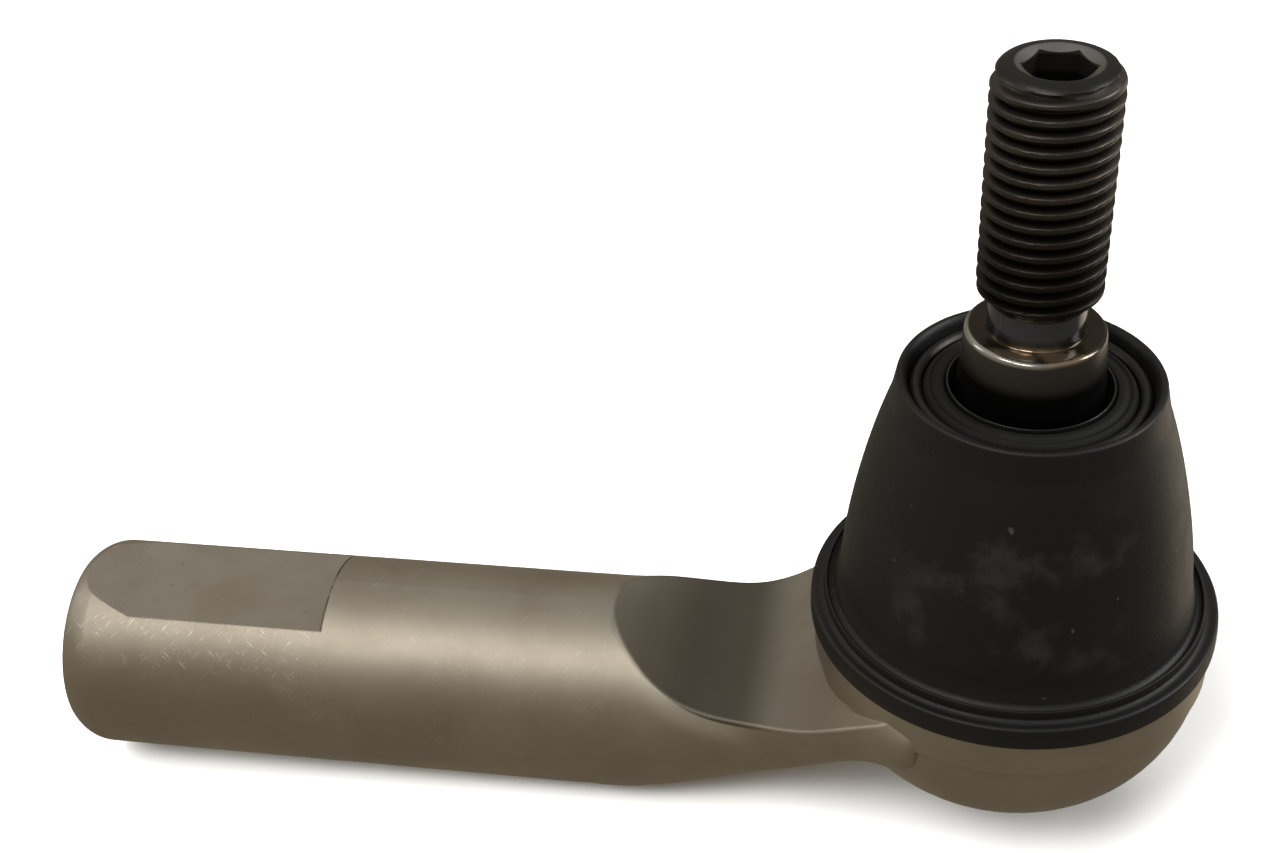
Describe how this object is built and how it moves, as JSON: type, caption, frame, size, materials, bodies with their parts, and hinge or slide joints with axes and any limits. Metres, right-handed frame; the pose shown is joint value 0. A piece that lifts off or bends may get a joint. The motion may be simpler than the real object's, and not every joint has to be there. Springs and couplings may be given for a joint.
{
  "type": "tie rod end",
  "caption": "Straight steering tie rod end with an internally threaded round shaft, a scooped neck and a ball stud that swivels in a rubber-booted eye.",
  "frame": {"origin": "centre of the ball, which is the point that the stud swivels about", "axes": "+Z along the ball stud towards its thread, -X along the shaft towards the tie rod"},
  "size_m": [0.1276, 0.0424, 0.0904],
  "materials": {
    "forged_aluminium": "brushed, with fine scratches",
    "stud_steel": "dark phosphate, satin",
    "seat_plastic": "natural acetal",
    "spring_steel": "blued spring steel",
    "cover_steel": "zinc plated",
    "ring_steel": "black satin",
    "boot_rubber": "semi-gloss moulded",
    "slip_plastic": "black, smooth"
  },
  "bodies": {
    "housing": {"housing": "forged_aluminium", "upper_seat": "seat_plastic", "lower_seat": "seat_plastic", "disc_spring": "spring_steel", "cover_plate": "cover_steel", "boot_base_ring": "ring_steel"},
    "boot": {"dust_boot": "boot_rubber"},
    "boot_crown": {"slip_ring": "slip_plastic", "boot_clamp_ring": "ring_steel"},
    "stud": {"ball_stud": "stud_steel"}
  },
  "joints": [
    {"name": "stud_swing", "type": "hinge", "parent": "housing", "child": "boot", "pos_m": [0, 0, 0], "axis": [0, 1, 0], "range_deg": [-18, 18], "deforming": ["dust_boot"]},
    {"name": "stud_rock", "type": "hinge", "parent": "boot", "child": "boot_crown", "pos_m": [0, 0, 0], "axis": [1, 0, 0], "range_deg": [-18, 18]},
    {"name": "stud_spin", "type": "hinge", "parent": "boot_crown", "child": "stud", "pos_m": [0, 0, 0], "axis": [0, 0, 1], "continuous": true}
  ]
}
